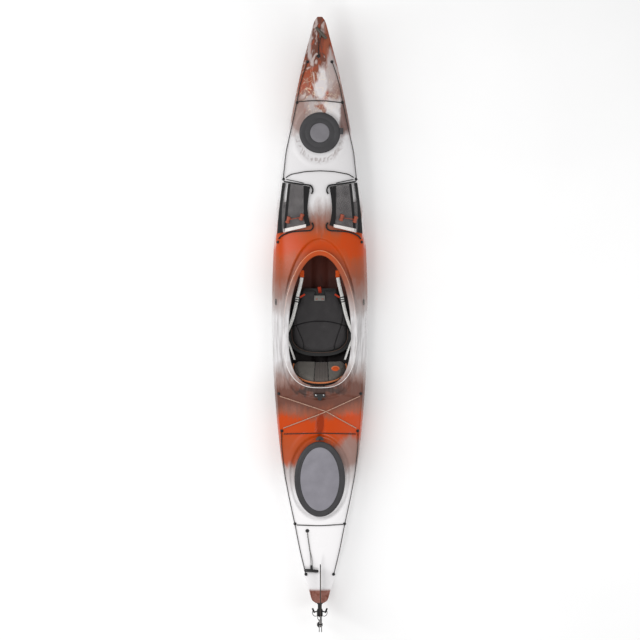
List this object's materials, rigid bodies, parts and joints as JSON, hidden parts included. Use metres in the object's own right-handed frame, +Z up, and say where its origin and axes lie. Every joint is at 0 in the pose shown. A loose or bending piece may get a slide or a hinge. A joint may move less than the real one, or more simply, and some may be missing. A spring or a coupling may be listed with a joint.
{
  "type": "kayak",
  "caption": "Touring kayak with a blended-colour deck, adjustable seat, domed hatch covers, mesh deck pockets, deck lines and a fold-up rudder worked by foot pedals.",
  "frame": {"origin": "centre of the overall length and beam, on the plane the keel rests on", "axes": "+Y towards the bow, +Z up, +X to starboard"},
  "size_m": [0.6222, 3.995, 0.382],
  "materials": {
    "hull_plastic": "semi-gloss rotomoulded, blended colours",
    "foam": "matt closed-cell foam",
    "lid_rubber": "satin",
    "lid_plastic": "fine texture",
    "black_plastic": "satin",
    "rope": "braided",
    "pale_bungee": "braided",
    "mesh": "open mesh",
    "black_webbing": "woven",
    "white_webbing": "woven",
    "orange_webbing": "woven",
    "orange_plastic": "satin",
    "seat_fabric": "fine weave",
    "back_fabric": "fine weave",
    "steel": "brushed",
    "rail_metal": "anodised",
    "rudder_metal": "powder coat",
    "blade_metal": "anodised"
  },
  "bodies": {
    "hull": {"anchor_screws": "steel", "bow_bulkhead": "foam", "bow_bungees": "rope", "bow_deck": "hull_plastic", "bow_deck_line_left": "rope", "bow_deck_line_right": "rope", "bow_handle_eye": "black_plastic", "bow_pad_eyes": "black_plastic", "cockpit_deck": "hull_plastic", "foot_rail_left": "rail_metal", "foot_rail_right": "rail_metal", "hull_shell": "hull_plastic", "pocket_bands": "black_webbing", "pocket_bungees": "rope", "pocket_hems": "white_webbing", "pocket_mesh_left": "mesh", "pocket_mesh_right": "mesh", "pocket_toggles": "orange_plastic", "rear_anchor": "black_plastic", "rear_bungee": "rope", "rudder_bracket": "rudder_metal", "rudder_pin": "steel", "seat_cushion": "seat_fabric", "seat_pan": "black_plastic", "seat_rails": "black_plastic", "side_loops": "black_webbing", "side_pad_eyes": "black_plastic", "stern_bulkhead": "foam", "stern_bungees": "pale_bungee", "stern_deck": "hull_plastic", "stern_deck_line_left": "rope", "stern_deck_line_right": "rope", "stern_handle_eye": "black_plastic", "stern_pad_eyes": "black_plastic", "strap_buckles": "black_plastic", "strap_main_left": "white_webbing", "strap_main_right": "white_webbing", "strap_tabs": "orange_webbing", "strap_tail_left": "white_webbing", "strap_tail_right": "white_webbing"},
    "bow_hatch": {"bow_hatch_seal": "lid_rubber", "bow_hatch_panel": "lid_plastic"},
    "stern_hatch": {"stern_hatch_seal": "lid_rubber", "stern_hatch_panel": "lid_plastic"},
    "bow_handle": {"bow_handle_grip": "black_plastic", "bow_handle_cord": "rope"},
    "stern_handle": {"stern_handle_grip": "black_plastic", "stern_handle_cord": "rope"},
    "leg_lift": {"leg_lift_pan": "black_plastic", "leg_lift_cushion": "seat_fabric", "leg_lift_pull": "orange_webbing"},
    "backrest": {"backrest_shell": "black_plastic", "backrest_pad": "back_fabric", "backrest_badge": "orange_plastic"},
    "pedal_left": {"foot_pedal_left": "black_plastic"},
    "pedal_right": {"foot_pedal_right": "black_plastic"},
    "rudder_head": {"rudder_head": "rudder_metal", "rudder_wire_loops": "steel", "rudder_pivot_bolt": "steel"},
    "rudder_blade": {"rudder_blade": "blade_metal"}
  },
  "joints": [
    {"name": "bow_hatch_lift", "type": "slide", "parent": "hull", "child": "bow_hatch", "axis": [0, 0, 1], "range_m": [0, 0.25]},
    {"name": "stern_hatch_lift", "type": "slide", "parent": "hull", "child": "stern_hatch", "axis": [0, 0, 1], "range_m": [0, 0.25]},
    {"name": "bow_handle_swing", "type": "hinge", "parent": "hull", "child": "bow_handle", "pos_m": [-0.008, 1.742, 0.3365], "axis": [1, 0, 0], "range_deg": [0, 95]},
    {"name": "stern_handle_swing", "type": "hinge", "parent": "hull", "child": "stern_handle", "pos_m": [-0.081, -1.342, 0.2742], "axis": [-1, 0, 0], "range_deg": [0, 95]},
    {"name": "leg_lift_tilt", "type": "hinge", "parent": "hull", "child": "leg_lift", "pos_m": [0, 0.002, 0.097], "axis": [1, 0, 0], "range_deg": [0, 8]},
    {"name": "backrest_fold", "type": "hinge", "parent": "hull", "child": "backrest", "pos_m": [0, -0.25, 0.112], "axis": [-1, 0, 0], "range_deg": [0, 60], "deforming": ["strap_main_left", "strap_main_right"]},
    {"name": "pedal_left_slide", "type": "slide", "parent": "hull", "child": "pedal_left", "axis": [0.1236, 0.9923, 0], "range_m": [-0.043, 0.043]},
    {"name": "pedal_right_slide", "type": "slide", "parent": "hull", "child": "pedal_right", "axis": [-0.1236, 0.9923, 0], "range_m": [-0.043, 0.043]},
    {"name": "rudder_steer", "type": "hinge", "parent": "hull", "child": "rudder_head", "pos_m": [0, -1.864, 0.23], "axis": [0, 0, 1], "range_deg": [-35, 35]},
    {"name": "rudder_lift", "type": "hinge", "parent": "rudder_head", "child": "rudder_blade", "pos_m": [0, -1.949, 0.306], "axis": [1, 0, 0], "range_deg": [0, 250]}
  ],
  "couplings": [
    {"joint": "pedal_left_slide", "follows": "rudder_steer", "m_per_rad": -0.07},
    {"joint": "pedal_right_slide", "follows": "rudder_steer", "m_per_rad": 0.07}
  ]
}
